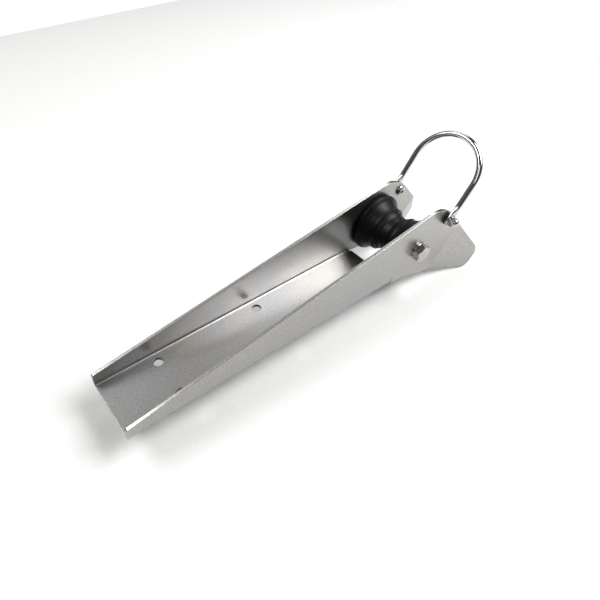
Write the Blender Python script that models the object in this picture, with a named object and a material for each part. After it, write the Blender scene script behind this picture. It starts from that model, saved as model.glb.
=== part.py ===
"""Bow roller for a boat: a folded stainless channel that carries an anchor line
over a rubber roller at its front, with a round-bar bail that keeps the line in.

Metres. X runs forward from the aft end of the channel, Y to port, Z up.
The origin is on the underside of the base plate, midway between the four deck holes.
"""

import math

import bmesh
import bpy
from mathutils import Matrix, Vector

# ---- channel ----
sheet = 0.003                   # thickness of the folded sheet
channel_width = 0.065           # outside of one side wall to outside of the other
base_length = 0.300             # aft end to the front face of the turned-down lip
fold_radius = 0.0035            # mid-sheet radius of the two long folds
lip_fold_radius = 0.003         # mid-sheet radius of the turned-down lip
lip_drop = 0.0055               # how far that lip reaches below the underside
relief = 0.001                  # slit that frees each cheek and the lip from the folds
edge_ease = 0.0005              # rounding of every sheet edge
aft_wall_height = 0.015         # wall top above the underside, at the aft end
wall_slope = 9.1                # degrees the wall top climbs, going forward
shoulder_radius = 0.042         # round between the wall top and the front edge
front_slope = 47.0              # degrees the cheek's front edge falls, going forward
front_margin = 0.0078           # bail screw's centre to the cheek's front edge
front_run = 0.0342              # front edge from beside the screw down to the flare
flare_angle = 20.0              # degrees each front lip turns outward
flare_lean = 54.1               # degrees from level of the flare's fold line
flare_fold_length = 0.0575      # length of that fold line
flare_fold_radius = 0.006       # mid-sheet radius of that fold
flare_length = 0.0493           # fold line to the tip of the flare
flare_top_fall = 0.014          # narrowing of the flare along its top edge
flare_foot_rise = 0.019         # narrowing of the flare along its lower edge
nose_radius = 0.012             # rounding of the flare's two corners
deck_hole = 0.009               # holes for the deck bolts
deck_hole_aft = 0.055           # aft pair, from the aft end
deck_hole_fore = 0.163          # fore pair, from the aft end
deck_hole_side = 0.0192         # each deck hole from the middle line

# ---- roller and its axle ----
axle_thread = 0.010             # axle bolt diameter
axle_ahead = 0.029              # axle centre ahead of the base plate
axle_height = 0.028             # axle centre above the underside
axle_flats = 0.017              # across the flats of head and nut
axle_head = 0.0064              # height of the hexagon head
axle_nut = 0.0080               # height of the nut's hexagon
axle_collar = 0.0026            # height of the collar that holds the locking ring
locking_ring = 0.0016           # wall of the nylon ring in that collar
axle_washer = 0.0185            # diameter of the outer washers
axle_washer_thick = 0.0016
axle_tail = 0.0020              # bolt beyond the nut
thrust_washer = 0.024           # diameter of the washers beside the roller
thrust_washer_thick = 0.0015
bush_wall = 0.0025              # wall of the sleeve in the roller
roller_size = 0.063             # diameter over the flanges
roller_rim = 0.0036             # width of each flange's rim
roller_cone_top = 0.057         # diameter where a flange's face turns into its cone
roller_cone_mouth = 0.0215      # where that is, from the middle of the roller
roller_step = 0.0485            # diameter where each cone meets its hub ring
roller_cone_foot = 0.0125       # where that is, from the middle of the roller
roller_ledge = 0.0085           # inner face of the hub ring, from the middle
roller_hub = 0.0430             # diameter of the hub beside the groove
roller_groove = 0.0395          # diameter of the groove in the middle
roller_groove_half = 0.0045     # half the groove's width at its top

# ---- bail ----
bail_thread = 0.006             # bail screw diameter
bail_ahead = 0.065              # bail screws ahead of the base plate
bail_screw_height = 0.0525      # bail screws above the underside
bail_head = 0.012               # diameter of the button heads
bail_head_high = 0.0032
bail_socket = 0.004             # across the flats of the key socket
bail_spacer = 0.012             # diameter of the black spacers
bail_spacer_thick = 0.0015
bail_washer = 0.0115            # diameter of the thin washers
bail_washer_thick = 0.0010
bail_flats = 0.010              # across the flats of the cap nuts
bail_nut_hex = 0.0034           # height of a cap nut's hexagon
bail_nut_dome = 0.0036          # height of its dome
bail_rod = 0.0063               # diameter of the bar
bail_eye = 0.013                # width of the flattened ends
bail_eye_thick = 0.0033
bail_height = 0.0762            # screw line to the middle of the bar at the top
bail_lean = 33.0                # degrees the bail leans forward at rest

# ---- clearances ----
gap = 0.0003                    # between pieces that touch
fit = 0.0003                    # all round a shaft in its hole

# ---- what follows from them ----
half_width = channel_width / 2
inner_wall = half_width - sheet
mid_wall = half_width - sheet / 2
flat_half = mid_wall - fold_radius
wall_foot = sheet / 2 + fold_radius
base_front = base_length - sheet / 2 - lip_fold_radius
axle_x = base_length + axle_ahead
bail_x = base_length + bail_ahead
thrust_face = inner_wall - gap - thrust_washer_thick
roller_half = thrust_face - gap
axle_bore = axle_thread / 2 + fit
bush_outside = axle_bore + bush_wall
axle_seat = half_width + gap + axle_washer_thick + gap
bail_bore = bail_thread / 2 + fit
spacer_face = half_width + gap + bail_spacer_thick
eye_inner = spacer_face + gap
eye_outer = eye_inner + bail_eye_thick
bail_leg = (eye_inner + eye_outer) / 2
bail_seat = eye_outer + gap + bail_washer_thick + gap
cap_depth = bail_nut_hex + bail_nut_dome - 0.0014


def clear_scene():
    for obj in list(bpy.data.objects):
        bpy.data.objects.remove(obj, do_unlink=True)


def material(name, colour, roughness, metallic):
    mat = bpy.data.materials.new(name)
    mat.use_nodes = True
    shader = mat.node_tree.nodes["Principled BSDF"]
    shader.inputs["Base Color"].default_value = (*colour, 1.0)
    shader.inputs["Roughness"].default_value = roughness
    shader.inputs["Metallic"].default_value = metallic
    return mat


def finish(bm, name, mat=None):
    """Turns a bmesh into an object of this name, shaded smooth with sharp corners."""
    bmesh.ops.recalc_face_normals(bm, faces=bm.faces)
    mesh = bpy.data.meshes.new(name)
    bm.to_mesh(mesh)
    bm.free()
    if mat:
        mesh.materials.append(mat)
    mesh.shade_smooth()
    mesh.set_sharp_from_angle(angle=math.radians(35))
    obj = bpy.data.objects.new(name, mesh)
    bpy.context.scene.collection.objects.link(obj)
    return obj


def helper(obj):
    """Marks an object that only cuts or joins."""
    obj.hide_render = True
    obj.display_type = "WIRE"
    return obj


def boolean(obj, operation, other):
    modifier = obj.modifiers.new(operation.title() + " " + other.name, "BOOLEAN")
    modifier.operation = operation
    modifier.solver = "EXACT"
    modifier.object = other


def spun(name, profile, mat=None, steps=64):
    """Spins (radius, along) points about the Y axis: a closed ring, or a solid from axis to axis."""
    bm = bmesh.new()
    verts = [bm.verts.new((radius, along, 0.0)) for radius, along in profile]
    edges = [bm.edges.new(pair) for pair in zip(verts, verts[1:])]
    if profile[0][0]:
        edges.append(bm.edges.new((verts[-1], verts[0])))
    bmesh.ops.spin(
        bm, geom=verts + edges, cent=(0, 0, 0), axis=(0, 1, 0),
        angle=2 * math.pi, steps=steps, use_merge=True,
    )
    bmesh.ops.remove_doubles(bm, verts=bm.verts, dist=1e-6)
    return finish(bm, name, mat)


def washer(name, outside, bore, thick, mat):
    """A flat ring centred on its own middle, with its corners eased."""
    edge = 0.00025
    r = outside / 2
    h = thick / 2
    profile = [
        (bore, -h), (r - edge, -h), (r, -h + edge),
        (r, h - edge), (r - edge, h), (bore, h),
    ]
    return spun(name, profile, mat, 32)


def prism(name, outline, low, high, mat=None):
    """A straight prism along Y from an outline of (x, z) points."""
    bm = bmesh.new()
    face = bm.faces.new([bm.verts.new((x, low, z)) for x, z in outline])
    pushed = bmesh.ops.extrude_face_region(bm, geom=[face])["geom"]
    moved = [item for item in pushed if isinstance(item, bmesh.types.BMVert)]
    bmesh.ops.translate(bm, verts=moved, vec=(0, high - low, 0))
    return finish(bm, name, mat)


def round_cutter(bm, radius, centre, direction, length):
    """Adds a closed cylinder about a centre to a cutter's bmesh."""
    turn = Vector((0, 0, 1)).rotation_difference(Vector(direction)).to_matrix().to_4x4()
    bmesh.ops.create_cone(
        bm, cap_ends=True, segments=32, radius1=radius, radius2=radius,
        depth=length, matrix=Matrix.Translation(centre) @ turn,
    )


def hexagon(across):
    corner = across / math.sqrt(3)
    turns = [math.radians(60 * i + 30) for i in range(6)]
    return [(corner * math.cos(turn), corner * math.sin(turn)) for turn in turns]


def chamfered_hexagon(name, across, height, mat, both=True):
    """A hexagon from y = 0 to y = height with its corners turned off at 30 degrees."""
    corner = across / math.sqrt(3)
    flat = across / 2 * 0.96
    fall = (corner - flat) * math.tan(math.radians(30))
    obj = prism(name, hexagon(across), 0.0, height, mat)
    first = (flat, 0.0) if both else (corner + 0.001, 0.0)
    second = (corner, fall) if both else (corner + 0.001, fall)
    profile = [(0, 0), first, second, (corner, height - fall), (flat, height), (0, height)]
    turned = helper(spun(name + "_turned", profile, steps=32))
    boolean(obj, "INTERSECT", turned)
    turned.parent = obj
    return obj


def arc(centre, radius, start, end, steps):
    """Points of a circle from one angle to another in degrees, both ends included."""
    turns = [math.radians(start + (end - start) * i / steps) for i in range(steps + 1)]
    return [(centre[0] + radius * math.cos(t), centre[1] + radius * math.sin(t)) for t in turns]


def rounded(corners, degrees=9):
    """A closed outline from (x, z, radius) corners, each turned in steps of some degrees."""
    found = []
    for i, (x, z, radius) in enumerate(corners):
        here = Vector((x, z))
        if not radius:
            found.append((x, z))
            continue
        back = (Vector(corners[i - 1][:2]) - here).normalized()
        ahead = (Vector(corners[(i + 1) % len(corners)][:2]) - here).normalized()
        half = back.angle(ahead) / 2
        centre = here + (back + ahead).normalized() * radius / math.sin(half)
        first = here + back * radius / math.tan(half) - centre
        turn = math.pi - 2 * half
        side = 1 if back.x * ahead.y - back.y * ahead.x < 0 else -1
        steps = math.ceil(math.degrees(turn) / degrees)
        for k in range(steps + 1):
            found.append(tuple(centre + Matrix.Rotation(side * turn * k / steps, 2) @ first))
    return found


def cheek_points():
    """The outline of one side wall and cheek before its flare is turned out."""
    climb = math.tan(math.radians(wall_slope))
    edge = Vector((math.cos(math.radians(front_slope)), -math.sin(math.radians(front_slope))))
    beside = Vector((bail_x, bail_screw_height)) + Vector((-edge.y, edge.x)) * front_margin
    reach = (aft_wall_height + climb * beside.x - beside.y) / (edge.y - climb * edge.x)
    shoulder = beside + edge * reach
    fold_top = beside + edge * front_run
    down = -Vector((math.cos(math.radians(flare_lean)), math.sin(math.radians(flare_lean))))
    out = Vector((-down.y, down.x))
    fold_foot = fold_top + down * flare_fold_length
    tip_top = fold_top + out * flare_length + down * flare_top_fall
    tip_foot = fold_foot + out * flare_length - down * flare_foot_rise
    corners = [
        (0, wall_foot, 0), (0, aft_wall_height, 0.0025),
        (shoulder.x, shoulder.y, shoulder_radius), (fold_top.x, fold_top.y, 0),
        (tip_top.x, tip_top.y, nose_radius), (tip_foot.x, tip_foot.y, nose_radius),
    ]
    sweep = 12
    for i in range(sweep + 1):
        share = i / sweep
        x = fold_foot.x + (base_length - fold_foot.x) * share
        corners.append((x, fold_foot.y * (1 + math.cos(math.pi * share)) / 2, 0))
    corners += [
        (base_front + relief, 0, 0), (base_front + relief, wall_foot + relief, 0),
        (base_front, wall_foot + relief, 0), (base_front, wall_foot, 0),
    ]
    return rounded(corners), fold_top, out


def turn_flare(bm, fold_top, out):
    """Bends what lies beyond the fold line outward, to starboard."""
    forward = Vector((out.x, 0, out.y))
    origin = Vector((fold_top.x, -mid_wall, fold_top.y))
    angle = math.radians(flare_angle)
    zone = flare_fold_radius * angle
    steps = 4
    for i in range(steps + 1):
        along = zone * (i / steps - 0.5)
        bmesh.ops.bisect_plane(
            bm, geom=bm.verts[:] + bm.edges[:] + bm.faces[:], dist=1e-6,
            plane_co=origin + forward * along, plane_no=forward,
        )
    for vert in bm.verts:
        along = (vert.co - origin).dot(forward) + zone / 2
        if along <= 0:
            continue
        turned = min(along, zone) / flare_fold_radius
        beyond = max(along - zone, 0)
        ahead = flare_fold_radius * math.sin(turned) + beyond * math.cos(angle)
        side = flare_fold_radius * (1 - math.cos(turned)) + beyond * math.sin(angle)
        vert.co += forward * (ahead - along) - Vector((0, side, 0))


def make_channel(mat):
    outline, fold_top, out = cheek_points()
    bm = bmesh.new()
    bm.faces.new([bm.verts.new((x, -mid_wall, z)) for x, z in outline])
    turn_flare(bm, fold_top, out)
    other = bmesh.ops.duplicate(bm, geom=bm.verts[:] + bm.edges[:] + bm.faces[:])["geom"]
    for item in other:
        if isinstance(item, bmesh.types.BMVert):
            item.co.y = -item.co.y

    # the two long folds, each a strip of flats from the wall's foot to the base
    for side in (-1, 1):
        bend = arc((flat_half, wall_foot), fold_radius, 0, -90, 6)
        for (y0, z0), (y1, z1) in zip(bend, bend[1:]):
            ends = [(0, y0, z0), (base_front, y0, z0), (base_front, y1, z1), (0, y1, z1)]
            bm.faces.new([bm.verts.new((x, side * y, z)) for x, y, z in ends])

    # the base, then the lip turned down at its front
    lip_half = flat_half - relief
    level = sheet / 2
    base = [
        (0, -flat_half), (base_front, -flat_half), (base_front, -lip_half),
        (base_front, lip_half), (base_front, flat_half), (0, flat_half),
    ]
    bm.faces.new([bm.verts.new((x, y, level)) for x, y in base])
    bend = arc((base_front, level - lip_fold_radius), lip_fold_radius, 90, 0, 5)
    bend.append((bend[-1][0], -lip_drop))
    for (x0, z0), (x1, z1) in zip(bend, bend[1:]):
        ends = [(x0, -lip_half, z0), (x0, lip_half, z0), (x1, lip_half, z1), (x1, -lip_half, z1)]
        bm.faces.new([bm.verts.new(point) for point in ends])
    bmesh.ops.remove_doubles(bm, verts=bm.verts, dist=1e-6)
    channel = finish(bm, "channel", mat)

    thicken = channel.modifiers.new("Sheet", "SOLIDIFY")
    thicken.thickness = sheet
    thicken.offset = 0
    thicken.use_even_offset = True
    thicken.use_quality_normals = True

    cutter = bmesh.new()
    for x in (deck_hole_aft, deck_hole_fore):
        for y in (-deck_hole_side, deck_hole_side):
            round_cutter(cutter, deck_hole / 2, (x, y, level), (0, 0, 1), sheet * 3)
    for side in (-1, 1):
        axle = (axle_x, side * mid_wall, axle_height)
        pivot = (bail_x, side * mid_wall, bail_screw_height)
        round_cutter(cutter, axle_bore, axle, (0, 1, 0), sheet * 3)
        round_cutter(cutter, bail_bore, pivot, (0, 1, 0), sheet * 3)
    boolean(channel, "DIFFERENCE", helper(finish(cutter, "channel_holes")))

    ease = channel.modifiers.new("Eased edges", "BEVEL")
    ease.width = edge_ease
    ease.segments = 1
    ease.limit_method = "ANGLE"
    ease.angle_limit = math.radians(50)
    return channel


def make_roller(mat):
    """Two flanges with cones falling to a stepped hub and a shallow middle groove."""
    rim = roller_size / 2
    bore = bush_outside + gap
    foot = roller_step / 2
    hub = roller_hub / 2
    groove = roller_groove / 2
    half = [
        (bore, roller_half, 0.0006), (rim, roller_half, 0.0016),
        (rim, roller_half - roller_rim, 0.0016), (roller_cone_top / 2, roller_cone_mouth, 0),
        (foot, roller_cone_foot, 0.0006), (foot, roller_ledge, 0.0006),
        (hub, roller_ledge, 0.0006), (hub, roller_groove_half, 0.0006),
        (groove, roller_groove_half - 0.001, 0.0004),
    ]
    other = [(radius, -along, turn) for radius, along, turn in reversed(half)]
    return spun("roller", rounded(half + other, 45), mat, 40)


def make_axle(steel, rubber, nylon):
    """Everything on the axle's line, head to starboard and nut to port."""
    pieces = [make_roller(rubber)]
    inner = axle_bore
    outer = bush_outside
    end = roller_half
    tube = [(inner, -end), (outer, -end), (outer, end), (inner, end)]
    pieces.append(spun("roller_bush", tube, nylon, 32))

    for side, name in ((-1, "starboard"), (1, "port")):
        beside = washer("thrust_washer_" + name, thrust_washer, axle_bore, thrust_washer_thick, nylon)
        beside.location.y = side * (inner_wall - gap - thrust_washer_thick / 2)
        under = washer("axle_washer_" + name, axle_washer, axle_bore, axle_washer_thick, steel)
        under.location.y = side * (half_width + gap + axle_washer_thick / 2)
        pieces += [beside, under]

    bolt = chamfered_hexagon("axle_bolt", axle_flats, axle_head, steel, both=False)
    reach = axle_seat + axle_nut + axle_collar + axle_tail
    shank = spun("axle_bolt_shank", [
        (0, axle_head / 2), (axle_thread / 2, axle_head / 2), (axle_thread / 2, -axle_seat - reach + 0.001),
        (axle_thread / 2 - 0.001, -axle_seat - reach), (0, -axle_seat - reach),
    ], steps=32)
    boolean(bolt, "UNION", helper(shank))
    shank.parent = bolt
    bolt.rotation_euler.x = math.pi
    bolt.location.y = -axle_seat
    pieces.append(bolt)

    nut = chamfered_hexagon("axle_nut", axle_flats, axle_nut, steel)
    collar = axle_flats / 2 * 0.93
    ring = axle_thread / 2 + locking_ring
    joined = spun("axle_nut_collar", rounded([
        (0, axle_nut - 0.001, 0), (collar, axle_nut - 0.001, 0),
        (collar, axle_nut + axle_collar, 0.0012), (0, axle_nut + axle_collar, 0),
    ], 30), steps=32)
    bore = spun("axle_nut_bore", [
        (0, -0.001), (axle_bore, -0.001), (axle_bore, axle_nut), (ring, axle_nut),
        (ring, axle_nut + axle_collar + 0.001), (0, axle_nut + axle_collar + 0.001),
    ], steps=32)
    boolean(nut, "UNION", helper(joined))
    boolean(nut, "DIFFERENCE", helper(bore))
    joined.parent = nut
    bore.parent = nut
    nut.location.y = axle_seat
    insert = washer("axle_nut_ring", 2 * (ring - gap), axle_bore, axle_collar - 2 * gap, nylon)
    insert.location.y = axle_seat + axle_nut + axle_collar / 2
    pieces += [nut, insert]

    for piece in pieces:
        piece.location.x = axle_x
        piece.location.z = axle_height
    return pieces


def bail_stations():
    """Half the bar, from one flattened end to the top: (across, up, half thickness, half width)."""
    eye = bail_eye / 2
    rod = bail_rod / 2
    flat = bail_eye_thick / 2
    found = []
    for turn in (-78, -62, -45, -28, -12, 0):
        low = math.radians(turn)
        found.append((bail_leg, eye * math.sin(low), flat, eye * math.cos(low)))
    neck = eye + 0.0100
    for share in (0.25, 0.5, 0.7, 0.85, 1.0):
        ease = (1 - math.cos(math.pi * share)) / 2
        up = neck * share
        found.append((bail_leg, up, flat + (rod - flat) * ease ** 2, eye + (rod - eye) * ease))
    straight = bail_height - bail_leg
    found.append((bail_leg, (neck + straight) / 2, rod, rod))
    steps = 12
    for i in range(steps + 1):
        turn = math.pi / 2 * i / steps
        found.append((bail_leg * math.cos(turn), straight + bail_leg * math.sin(turn), rod, rod))
    return found


def make_bail(mat):
    """A round bar bent to an arch whose ends are hammered flat and drilled."""
    half = bail_stations()
    path = half + [(-y, z, thick, wide) for y, z, thick, wide in reversed(half[:-1])]
    sides = 14
    bm = bmesh.new()
    rings = []
    for i, (y, z, thick, wide) in enumerate(path):
        before = path[max(i - 1, 0)]
        after = path[min(i + 1, len(path) - 1)]
        run = Vector((0, after[0] - before[0], after[1] - before[1])).normalized()
        across = Vector((0, -run.z, run.y))
        square = min((wide / thick - 1) / 1.5, 1)
        power = 1 - 0.45 * max(square, 0)
        ring = []
        for k in range(sides):
            turn = 2 * math.pi * (k + 0.5) / sides
            a = math.copysign(abs(math.cos(turn)) ** power, math.cos(turn)) * thick
            b = math.copysign(abs(math.sin(turn)) ** power, math.sin(turn)) * wide
            ring.append(bm.verts.new(Vector((0, y, z)) + across * a + Vector((b, 0, 0))))
        rings.append(ring)
    for first, second in zip(rings, rings[1:]):
        for k in range(sides):
            after = (k + 1) % sides
            bm.faces.new([first[k], first[after], second[after], second[k]])
    bm.faces.new(rings[0])
    bm.faces.new(rings[-1])
    bail = finish(bm, "bail", mat)
    cutter = bmesh.new()
    for side in (-1, 1):
        round_cutter(cutter, bail_bore, (0, side * bail_leg, 0), (0, 1, 0), bail_eye_thick * 3)
    holes = helper(finish(cutter, "bail_holes"))
    boolean(bail, "DIFFERENCE", holes)
    holes.parent = bail
    bail.location = (bail_x, 0, bail_screw_height)
    bail.rotation_euler.y = math.radians(bail_lean)
    return bail


def make_bail_screw(name, mat):
    """A button head below y = 0 with a key socket, and its shank along +Y."""
    head = bail_head / 2
    shank = bail_thread / 2
    length = bail_seat + cap_depth - 2 * gap - (inner_wall - gap)
    dome = [(head * a, -bail_head_high * b) for a, b in arc((0, 0), 1, 90, 0, 6)]
    dome[0] = (0, -bail_head_high)
    rest = [(shank, 0), (shank, length - 0.0005), (shank - 0.0005, length), (0, length)]
    screw = spun(name, dome + rest, mat, 32)
    socket = prism(name + "_socket", hexagon(bail_socket), -0.006, -bail_head_high + 0.0018)
    boolean(screw, "DIFFERENCE", helper(socket))
    socket.parent = screw
    return screw


def make_cap_nut(name, mat):
    """A low domed nut from y = 0, drilled from its flat end."""
    nut = chamfered_hexagon(name, bail_flats, bail_nut_hex, mat)
    foot = bail_flats / 2 * 0.9
    dome = [(foot * a, bail_nut_hex + bail_nut_dome * b) for a, b in arc((0, 0), 1, 0, 90, 7)]
    dome[-1] = (0, bail_nut_hex + bail_nut_dome)
    top = spun(name + "_dome", [(0, bail_nut_hex / 2), (foot, bail_nut_hex / 2)] + dome, steps=32)
    bore = spun(name + "_bore", [
        (0, -0.001), (bail_bore, -0.001), (bail_bore, cap_depth), (0, cap_depth),
    ], steps=32)
    boolean(nut, "UNION", helper(top))
    boolean(nut, "DIFFERENCE", helper(bore))
    top.parent = nut
    bore.parent = nut
    return nut


def make_bail_fixings(steel, rubber):
    """Screw, spacer, washer and cap nut on each side, all on the bail's own line."""
    for side, name in ((-1, "starboard"), (1, "port")):
        spacer = washer("bail_spacer_" + name, bail_spacer, bail_bore, bail_spacer_thick, rubber)
        spacer.location.y = side * (half_width + gap + bail_spacer_thick / 2)
        thin = washer("bail_washer_" + name, bail_washer, bail_bore, bail_washer_thick, steel)
        thin.location.y = side * (eye_outer + gap + bail_washer_thick / 2)
        screw = make_bail_screw("bail_screw_" + name, steel)
        screw.location.y = side * (inner_wall - gap)
        nut = make_cap_nut("bail_nut_" + name, steel)
        nut.location.y = side * bail_seat
        for piece in (spacer, thin, screw, nut):
            piece.location.x = bail_x
            piece.location.z = bail_screw_height
            piece.rotation_euler.z = 0 if side > 0 else math.pi


clear_scene()
satin = material("Satin stainless steel", (0.60, 0.59, 0.57), 0.32, 1.0)
bright = material("Polished stainless steel", (0.70, 0.70, 0.69), 0.12, 1.0)
black = material("Black rubber", (0.012, 0.012, 0.014), 0.45, 0.0)
dark = material("Black nylon", (0.02, 0.02, 0.02), 0.5, 0.0)
pale = material("Natural nylon", (0.72, 0.70, 0.64), 0.45, 0.0)
make_channel(satin)
make_axle(bright, black, pale)
make_bail(bright)
make_bail_fixings(bright, dark)

datum = bpy.data.objects.new("aft_end", None)
datum.location.x = -(deck_hole_aft + deck_hole_fore) / 2
bpy.context.scene.collection.objects.link(datum)
for obj in list(bpy.data.objects):
    if obj is not datum and not obj.parent:
        obj.parent = datum
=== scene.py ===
import math

import bmesh
import bpy
from mathutils import Matrix, Vector


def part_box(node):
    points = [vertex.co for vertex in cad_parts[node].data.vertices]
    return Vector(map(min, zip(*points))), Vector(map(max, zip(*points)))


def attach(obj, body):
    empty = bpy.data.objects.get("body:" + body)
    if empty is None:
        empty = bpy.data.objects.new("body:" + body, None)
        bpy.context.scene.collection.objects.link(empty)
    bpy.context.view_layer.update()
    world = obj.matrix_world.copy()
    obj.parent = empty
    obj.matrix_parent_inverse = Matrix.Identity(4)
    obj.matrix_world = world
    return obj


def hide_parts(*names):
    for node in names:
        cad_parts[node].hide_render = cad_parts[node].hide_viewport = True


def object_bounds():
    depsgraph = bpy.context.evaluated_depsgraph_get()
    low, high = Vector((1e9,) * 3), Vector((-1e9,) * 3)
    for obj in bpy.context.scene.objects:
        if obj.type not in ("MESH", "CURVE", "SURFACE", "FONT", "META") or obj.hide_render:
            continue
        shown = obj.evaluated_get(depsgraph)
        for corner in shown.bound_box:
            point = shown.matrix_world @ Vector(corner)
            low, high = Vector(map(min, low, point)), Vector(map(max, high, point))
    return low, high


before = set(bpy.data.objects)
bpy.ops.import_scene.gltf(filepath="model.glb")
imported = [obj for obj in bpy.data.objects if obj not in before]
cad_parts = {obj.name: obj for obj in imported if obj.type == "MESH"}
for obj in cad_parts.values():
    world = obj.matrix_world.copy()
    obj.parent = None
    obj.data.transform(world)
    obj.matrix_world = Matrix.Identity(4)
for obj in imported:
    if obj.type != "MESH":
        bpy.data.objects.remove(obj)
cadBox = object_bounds()
print("stage: frame loaded,", len(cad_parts), "nodes")

cameraView = {
    "place": (-0.15310, -0.24817, 0.37101),
    "turn": (46.795, -0.358, -36.608),      # degrees about X, Y and Z
    "lens": 30.865,
    "shift": (0.08, -0.05),
    "nearest": 0.01,
}

camera = bpy.data.objects.new("camera", bpy.data.cameras.new("camera"))
camera.location = cameraView["place"]
camera.rotation_euler = [math.radians(turn) for turn in cameraView["turn"]]
camera.data.lens = cameraView["lens"]
camera.data.shift_x, camera.data.shift_y = cameraView["shift"]
camera.data.clip_start = cameraView["nearest"]
bpy.context.scene.collection.objects.link(camera)
bpy.context.scene.camera = camera


def toLinear(hexColour):
    parts = [int(hexColour[i:i + 2], 16) / 255 for i in (1, 3, 5)]
    return (*[p / 12.92 if p <= 0.04045 else ((p + 0.055) / 1.055) ** 2.4 for p in parts], 1.0)


def addNode(tree, kind, inputs=None, **settings):
    # inputs are keyed by name or number; each takes a value, an output, or a node for its first output
    node = tree.nodes.new(kind)
    for name, setting in settings.items():
        setattr(node, name, setting)
    for key, given in (inputs or {}).items():
        source = given.outputs[0] if isinstance(given, bpy.types.Node) else given
        if isinstance(source, bpy.types.NodeSocket):
            tree.links.new(source, node.inputs[key])
        else:
            node.inputs[key].default_value = source
    return node


def startMaterial(name):
    mat = bpy.data.materials.new(name)
    mat.use_nodes = True
    mat.node_tree.nodes.clear()
    return mat, mat.node_tree, addNode(mat.node_tree, "ShaderNodeTexCoord").outputs["Object"]


def endMaterial(tree, tone, gloss, height, relief, constants):
    # relief is the pattern's depth in metres and how strongly it shows
    bump = addNode(tree, "ShaderNodeBump", {"Height": height, "Distance": relief[0], "Strength": relief[1]})
    shader = addNode(tree, "ShaderNodeBsdfPrincipled", {
        "Base Color": tone, "Roughness": gloss, "Normal": bump, **constants})
    addNode(tree, "ShaderNodeOutputMaterial", {"Surface": shader})


noiseLow, noiseHigh = 0.3, 0.7      # where nearly all of a noise lies


def patternFinish(tree, pattern, finish, height, constants):
    # one noise, from its low to its high parts, runs both the colour and the gloss
    share = addNode(tree, "ShaderNodeMapRange", {0: pattern, 1: noiseLow, 2: noiseHigh})
    low, high = [toLinear(colour) for colour in finish["colours"]]
    tone = addNode(tree, "ShaderNodeMix", {0: share, 6: low, 7: high}, data_type="RGBA")
    smooth, rough = finish["roughness"]
    gloss = addNode(tree, "ShaderNodeMapRange", {0: share, 3: smooth, 4: rough})
    endMaterial(tree, tone.outputs[2], gloss, height, finish["relief"], constants)


satinGrain = {
    # hairs run fore and aft; real ones are near 0.1 mm wide, drawn six times as wide so that they show
    "hairCell": (0.012, 0.0006, 0.0006),
    # pickled sheet has a mottle of about 0.2 mm, drawn seven times as coarse so that it shows
    "speckleCell": 0.0014,
    # slow change of tone from handling and rolling
    "cloudCell": (0.055, 0.0275, 0.0275),
    "colours": ("#b9b7b2", "#b8b8ba"),
    "mottle": ("#cdcccb", "#ffffff"),
    "mottleShare": 0.85,
    "roughness": (0.29, 0.37),
    "cloudHaze": 0.03,        # how far the clouds change the roughness, up or down
    "relief": (0.00005, 0.25),
}


def satinSheetMaterial(grain):
    # 316 stainless sheet, brushed satin along its length: soft wide reflections and a warm grey
    mat, tree, coords = startMaterial("stainlessSheetSatinBrushed")
    hairScale = [1 / size for size in grain["hairCell"]]
    hairSpace = addNode(tree, "ShaderNodeMapping", {"Vector": coords, "Scale": hairScale})
    hairs = addNode(tree, "ShaderNodeTexNoise", {
        "Vector": hairSpace, "Scale": 1.0, "Detail": 4.0, "Roughness": 0.62})
    cloudScale = [1 / size for size in grain["cloudCell"]]
    cloudSpace = addNode(tree, "ShaderNodeMapping", {
        "Vector": coords, "Location": (7, 2, 4), "Scale": cloudScale})
    cloud = addNode(tree, "ShaderNodeTexNoise", {"Vector": cloudSpace, "Scale": 1.0, "Detail": 2.0})
    speckle = addNode(tree, "ShaderNodeTexNoise", {
        "Vector": coords, "Scale": 1 / grain["speckleCell"], "Detail": 3.0, "Roughness": 0.6})
    cloudShare = addNode(tree, "ShaderNodeMapRange", {0: cloud, 1: noiseLow, 2: noiseHigh})
    warm, cool = [toLinear(colour) for colour in grain["colours"]]
    tone = addNode(tree, "ShaderNodeMix", {0: cloudShare, 6: warm, 7: cool}, data_type="RGBA")
    speckleShare = addNode(tree, "ShaderNodeMapRange", {0: speckle, 1: noiseLow, 2: noiseHigh})
    dark, clear = [toLinear(colour) for colour in grain["mottle"]]
    mottle = addNode(tree, "ShaderNodeMix", {0: speckleShare, 6: dark, 7: clear}, data_type="RGBA")
    mottled = addNode(tree, "ShaderNodeMix", {
        0: grain["mottleShare"], 6: tone.outputs[2], 7: mottle.outputs[2]},
        data_type="RGBA", blend_type="MULTIPLY")
    low, high = grain["roughness"]
    hairGloss = addNode(tree, "ShaderNodeMapRange", {0: hairs, 1: noiseLow, 2: noiseHigh, 3: low, 4: high})
    haze = grain["cloudHaze"]
    cloudGloss = addNode(tree, "ShaderNodeMapRange", {0: cloudShare, 3: -haze, 4: haze})
    gloss = addNode(tree, "ShaderNodeMath", {0: hairGloss, 1: cloudGloss}, operation="ADD")
    endMaterial(tree, mottled.outputs[2], gloss, speckle, grain["relief"], {"Metallic": 1.0})
    return mat


edgeFinish = {
    "cell": (0.0007, 0.006, 0.0007),     # belt lines near 0.2 mm apart, drawn coarser so that they show
    "colours": ("#aeaca8", "#c6c5c2"),
    "roughness": (0.18, 0.28),
    "relief": (0.00003, 0.12),
}


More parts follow.
